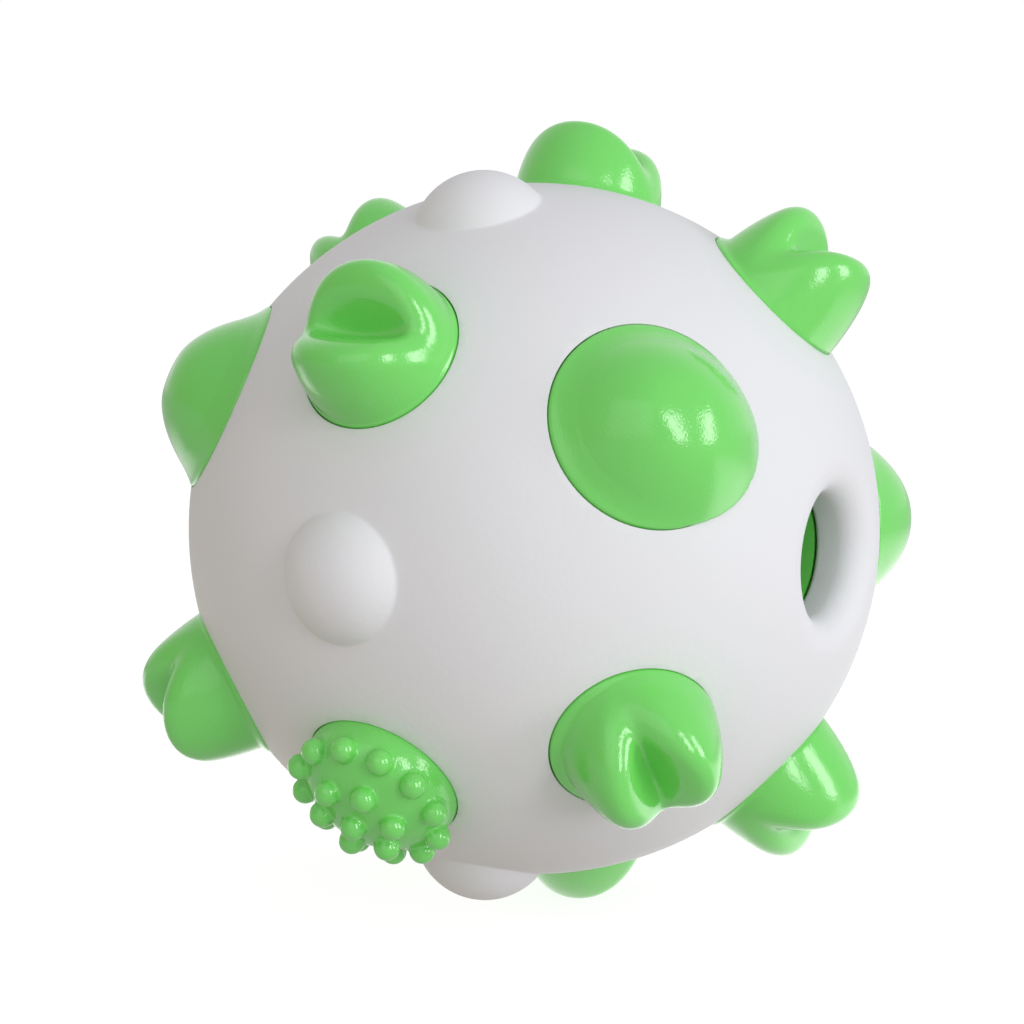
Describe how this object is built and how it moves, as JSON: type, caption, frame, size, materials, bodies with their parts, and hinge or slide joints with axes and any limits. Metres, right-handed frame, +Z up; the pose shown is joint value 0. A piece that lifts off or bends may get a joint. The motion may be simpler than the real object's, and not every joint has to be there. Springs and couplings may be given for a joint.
{
  "type": "dog chew ball",
  "caption": "Hollow white chew ball for dogs with a round treat hole, raised bumps, and green chewing studs set in round holes: grooved knobs, smooth domes and nubbed domes.",
  "frame": {"origin": "centre of the ball", "axes": "+X out through the middle of the treat hole, +Z up as the picture shows the ball, +Y to the right-hand rule, away from the camera"},
  "size_m": [0.0687, 0.0795, 0.0822],
  "materials": {
    "shell_white": "matte white, with a fine moulded grain",
    "stud_green": "glossy light green",
    "core_green": "satin light green"
  },
  "bodies": {
    "ball": {"shell_front": "shell_white", "shell_rear": "shell_white", "core_front": "core_green", "core_rear": "core_green"},
    "front_knob_1": {"front_knob_1": "stud_green"},
    "front_dome_2": {"front_dome_2": "stud_green"},
    "front_knob_3": {"front_knob_3": "stud_green"},
    "front_knob_4": {"front_knob_4": "stud_green"},
    "front_dome_5": {"front_dome_5": "stud_green"},
    "middle_knob_1": {"middle_knob_1": "stud_green"},
    "middle_nubbed_2": {"middle_nubbed_2": "stud_green"},
    "middle_knob_3": {"middle_knob_3": "stud_green"},
    "middle_nubbed_4": {"middle_nubbed_4": "stud_green"},
    "middle_knob_5": {"middle_knob_5": "stud_green"},
    "rear_knob_1": {"rear_knob_1": "stud_green"},
    "rear_dome_2": {"rear_dome_2": "stud_green"},
    "rear_knob_3": {"rear_knob_3": "stud_green"},
    "rear_knob_4": {"rear_knob_4": "stud_green"},
    "rear_dome_5": {"rear_dome_5": "stud_green"}
  },
  "joints": [
    {"name": "front_knob_1_turn", "type": "hinge", "parent": "ball", "child": "front_knob_1", "pos_m": [0, 0, 0], "axis": [0.6691, 0.2296, 0.7068], "continuous": true},
    {"name": "front_dome_2_turn", "type": "hinge", "parent": "ball", "child": "front_dome_2", "pos_m": [0, 0, 0], "axis": [0.7071, 0.7071, 0], "continuous": true},
    {"name": "front_knob_3_turn", "type": "hinge", "parent": "ball", "child": "front_knob_3", "pos_m": [0, 0, 0], "axis": [0.6691, 0.2296, -0.7068], "continuous": true},
    {"name": "front_knob_4_turn", "type": "hinge", "parent": "ball", "child": "front_knob_4", "pos_m": [0, 0, 0], "axis": [0.6691, -0.6012, -0.4368], "continuous": true},
    {"name": "front_dome_5_turn", "type": "hinge", "parent": "ball", "child": "front_dome_5", "pos_m": [0, 0, 0], "axis": [0.7071, -0.5721, 0.4156], "continuous": true},
    {"name": "middle_knob_1_turn", "type": "hinge", "parent": "ball", "child": "middle_knob_1", "pos_m": [0, 0, 0], "axis": [0, 0.309, 0.9511], "continuous": true},
    {"name": "middle_nubbed_2_turn", "type": "hinge", "parent": "ball", "child": "middle_nubbed_2", "pos_m": [0, 0, 0], "axis": [0, 1, 0], "continuous": true},
    {"name": "middle_knob_3_turn", "type": "hinge", "parent": "ball", "child": "middle_knob_3", "pos_m": [0, 0, 0], "axis": [0, 0.309, -0.9511], "continuous": true},
    {"name": "middle_nubbed_4_turn", "type": "hinge", "parent": "ball", "child": "middle_nubbed_4", "pos_m": [0, 0, 0], "axis": [0, -0.809, -0.5878], "continuous": true},
    {"name": "middle_knob_5_turn", "type": "hinge", "parent": "ball", "child": "middle_knob_5", "pos_m": [0, 0, 0], "axis": [0, -0.809, 0.5878], "continuous": true},
    {"name": "rear_knob_1_turn", "type": "hinge", "parent": "ball", "child": "rear_knob_1", "pos_m": [0, 0, 0], "axis": [-0.6691, 0.2296, 0.7068], "continuous": true},
    {"name": "rear_dome_2_turn", "type": "hinge", "parent": "ball", "child": "rear_dome_2", "pos_m": [0, 0, 0], "axis": [-0.7071, 0.7071, 0], "continuous": true},
    {"name": "rear_knob_3_turn", "type": "hinge", "parent": "ball", "child": "rear_knob_3", "pos_m": [0, 0, 0], "axis": [-0.6691, 0.2296, -0.7068], "continuous": true},
    {"name": "rear_knob_4_turn", "type": "hinge", "parent": "ball", "child": "rear_knob_4", "pos_m": [0, 0, 0], "axis": [-0.6691, -0.6012, -0.4368], "continuous": true},
    {"name": "rear_dome_5_turn", "type": "hinge", "parent": "ball", "child": "rear_dome_5", "pos_m": [0, 0, 0], "axis": [-0.7071, -0.5721, 0.4156], "continuous": true}
  ]
}
